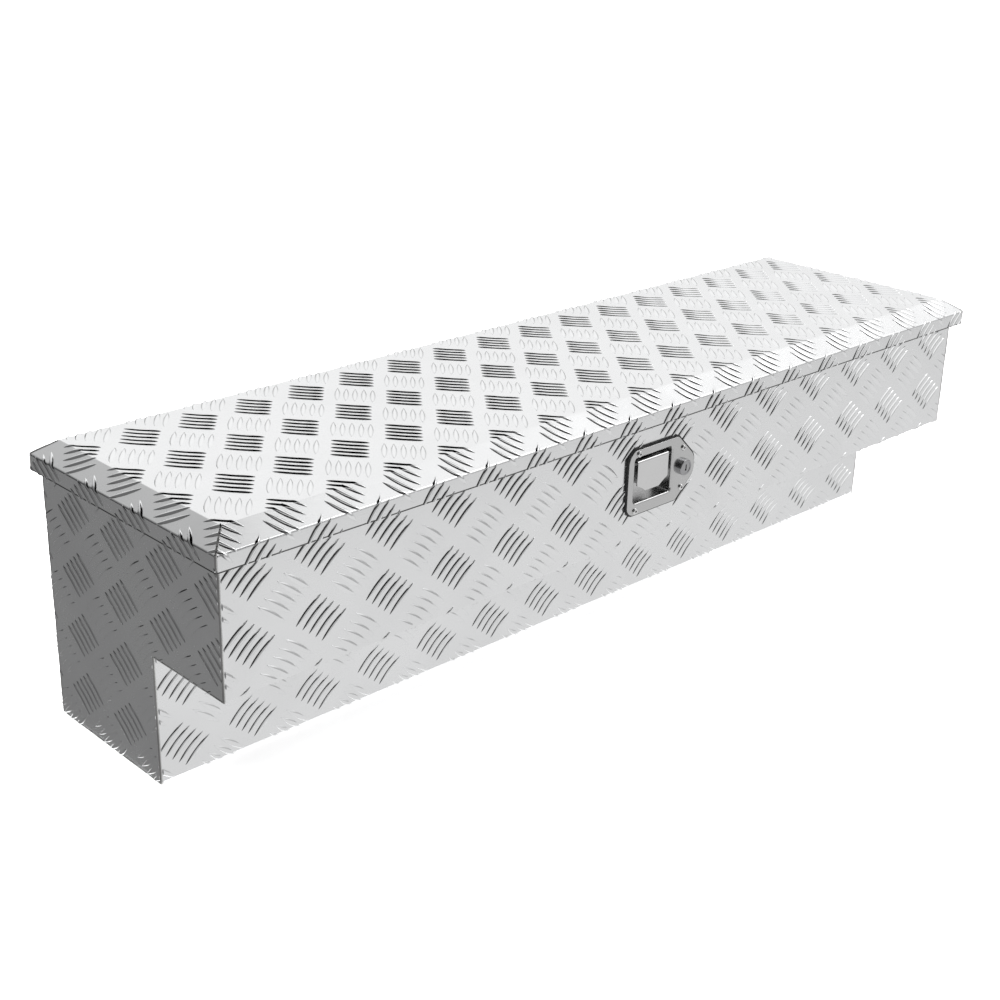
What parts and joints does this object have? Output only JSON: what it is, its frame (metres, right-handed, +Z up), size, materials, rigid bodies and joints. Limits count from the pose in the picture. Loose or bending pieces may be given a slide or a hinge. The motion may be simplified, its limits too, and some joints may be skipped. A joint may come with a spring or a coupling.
{
  "type": "truck tool box",
  "caption": "Long stepped side-mount truck tool box in aluminium tread plate with a hinged sloped-edge lid, paddle latch and key lock.",
  "frame": {"origin": "centre of the bounding box's bottom face, under the middle of the box", "axes": "+X along the box, -Y towards the latch side, +Z up"},
  "size_m": [1.24, 0.3432, 0.329],
  "materials": {
    "tread_plate": "bright five-bar tread plate",
    "mill_sheet": "mill",
    "stainless": "satin stainless",
    "hinge_steel": "plain stainless",
    "zinc_steel": "bright zinc plated",
    "lock_chrome": "satin chrome",
    "rod_chrome": "polished",
    "strut_black": "satin black paint",
    "socket_plastic": "moulded",
    "rubber": "matt"
  },
  "bodies": {
    "root": {"body_wrap": "tread_plate", "hinge_body_leaf": "hinge_steel", "hinge_body_rivets": "hinge_steel", "hinge_pin": "hinge_steel", "hook_pin": "zinc_steel", "hook_spring": "zinc_steel", "latch_case": "zinc_steel", "latch_gasket": "rubber", "latch_pan": "stainless", "latch_rivets": "stainless", "left_end_panel": "tread_plate", "left_strut_body_bracket": "zinc_steel", "left_strut_body_stud": "zinc_steel", "lock_housing": "lock_chrome", "lock_nut": "zinc_steel", "paddle_pin": "stainless", "paddle_spring": "zinc_steel", "right_end_panel": "tread_plate", "right_strut_body_bracket": "zinc_steel", "right_strut_body_stud": "zinc_steel", "rim_gasket": "rubber"},
    "lid": {"hinge_lid_leaf": "hinge_steel", "hinge_lid_rivets": "hinge_steel", "left_strut_lid_bracket": "zinc_steel", "lid_panel": "tread_plate", "lid_stiffener": "mill_sheet", "right_strut_lid_bracket": "zinc_steel", "striker": "zinc_steel"},
    "paddle": {"paddle": "stainless"},
    "latch_hook": {"latch_hook": "zinc_steel"},
    "lock_plug": {"lock_plug": "lock_chrome", "lock_cam": "zinc_steel", "lock_cam_screw": "zinc_steel"},
    "left_strut_cylinder": {"left_strut_cylinder": "strut_black", "left_strut_cylinder_end": "socket_plastic"},
    "left_strut_rod": {"left_strut_rod": "rod_chrome", "left_strut_rod_end": "socket_plastic", "left_strut_lid_stud": "zinc_steel"},
    "right_strut_cylinder": {"right_strut_cylinder": "strut_black", "right_strut_cylinder_end": "socket_plastic"},
    "right_strut_rod": {"right_strut_rod": "rod_chrome", "right_strut_rod_end": "socket_plastic", "right_strut_lid_stud": "zinc_steel"}
  },
  "joints": [
    {"name": "lid_hinge", "type": "hinge", "parent": "root", "child": "lid", "pos_m": [0, 0.1678, 0.29], "axis": [-1, 0, 0], "range_deg": [0, 75]},
    {"name": "paddle_pull", "type": "hinge", "parent": "root", "child": "paddle", "pos_m": [-0.00475, -0.1536, 0.245], "axis": [-1, 0, 0], "range_deg": [0, 32], "stiffness_Nm_per_rad": 0.12, "springref_deg": -20.05},
    {"name": "hook_swing", "type": "hinge", "parent": "root", "child": "latch_hook", "pos_m": [-0.00475, -0.1226, 0.242], "axis": [1, 0, 0], "range_deg": [0, 15]},
    {"name": "key_turn", "type": "hinge", "parent": "root", "child": "lock_plug", "pos_m": [0.0475, -0.1596, 0.227], "axis": [0, -1, 0], "range_deg": [-90, 0]},
    {"name": "left_strut_pivot", "type": "hinge", "parent": "root", "child": "left_strut_cylinder", "pos_m": [-0.564, -0.0672, 0.23], "axis": [1, 0, 0], "range_deg": [0, 5.29]},
    {"name": "left_strut_slide", "type": "slide", "parent": "left_strut_cylinder", "child": "left_strut_rod", "axis": [0, 0.9033, 0.4291], "range_m": [0, 0.09218]},
    {"name": "right_strut_pivot", "type": "hinge", "parent": "root", "child": "right_strut_cylinder", "pos_m": [0.564, -0.0672, 0.23], "axis": [1, 0, 0], "range_deg": [0, 5.29]},
    {"name": "right_strut_slide", "type": "slide", "parent": "right_strut_cylinder", "child": "right_strut_rod", "axis": [0, 0.9033, 0.4291], "range_m": [0, 0.09218]}
  ],
  "couplings": [
    {"joint": "hook_swing", "follows": "paddle_pull", "ratio": 0.45},
    {"joint": "left_strut_pivot", "follows": "lid_hinge", "ratio": 0.0691},
    {"joint": "left_strut_slide", "follows": "lid_hinge", "m_per_rad": 0.06972},
    {"joint": "right_strut_pivot", "follows": "lid_hinge", "ratio": 0.0691},
    {"joint": "right_strut_slide", "follows": "lid_hinge", "m_per_rad": 0.06972}
  ]
}
